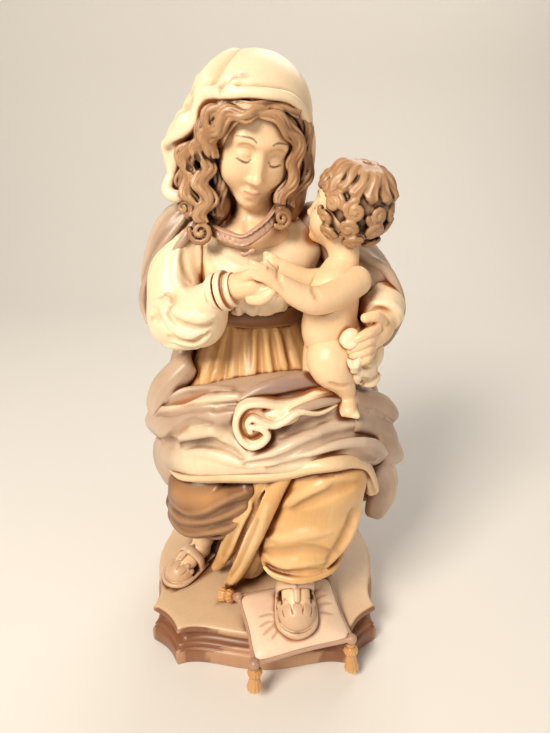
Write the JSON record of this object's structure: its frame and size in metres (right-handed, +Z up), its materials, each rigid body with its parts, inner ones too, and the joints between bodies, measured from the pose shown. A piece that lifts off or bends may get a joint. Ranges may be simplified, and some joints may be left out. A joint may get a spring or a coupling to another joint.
{
  "type": "madonna statue",
  "caption": "Carved and stained wooden statue of a seated Madonna holding the Child, one foot on a tasselled cushion, on a moulded plinth with cut corners",
  "frame": {"origin": "middle of the plinth's flat underside, on the surface that it stands on", "axes": "+Z up and along the statue's height; the figure faces -Y; +X is the figure's left side"},
  "size_m": [0.1369, 0.1398, 0.2975],
  "materials": {
    "stained_ivory": "ivory stained carved wood, satin wax, warm stain in the cuts",
    "skin": "light warm stained carved wood, satin wax",
    "gown": "golden tan stained carved wood, satin wax",
    "mantle": "grey mauve stained carved wood with rubbed cream edges",
    "lining": "ochre stained carved wood, rubbed edges",
    "dark_stain": "dark brown stained carved wood",
    "hair": "brown mauve stained carved wood, rubbed ridges",
    "plinth": "cream stained carved wood",
    "seat": "brown stained carved wood, tool marks",
    "trim": "pinkish brown stained carved wood",
    "sandal": "light tan stained carved wood, darker in the cuts",
    "cushion": "pinkish cream stained carved wood, satin wax",
    "tassel": "tan stained carved wood",
    "peg": "plain turned wood"
  },
  "bodies": {
    "root": {"plinth": "plinth", "plinth_dowels": "peg", "seat_block": "seat", "back_mantle": "mantle", "mantle_shoulder": "mantle", "mantle_left_arm": "mantle", "mantle_left_hip": "mantle", "mantle_right_hip": "mantle", "mantle_lap": "mantle", "mantle_hem": "lining", "mantle_scroll": "stained_ivory", "mantle_knee_wrap": "dark_stain", "gown_bodice": "stained_ivory", "gown_collar": "trim", "belt": "dark_stain", "gown_waist": "gown", "gown_left_leg": "gown", "gown_centre_folds": "gown", "mother_head": "skin", "neck_dowel": "peg", "mother_hair": "hair", "veil": "stained_ivory", "right_sleeve": "stained_ivory", "right_cuff": "stained_ivory", "right_hand": "skin", "left_sleeve": "stained_ivory", "left_hand": "skin", "right_foot": "skin", "right_sandal": "sandal", "left_foot": "skin", "left_sandal": "sandal", "cushion": "cushion", "cushion_piping": "trim", "tassel_front_left": "tassel", "tassel_front_right": "tassel", "tassel_rear_left": "tassel", "child_body": "skin", "child_dowel": "peg", "child_head": "skin", "child_hair": "hair", "child_left_arm": "skin", "child_right_arm": "skin", "child_left_leg": "skin", "child_right_leg": "skin", "child_loincloth": "stained_ivory"}
  },
  "joints": []
}
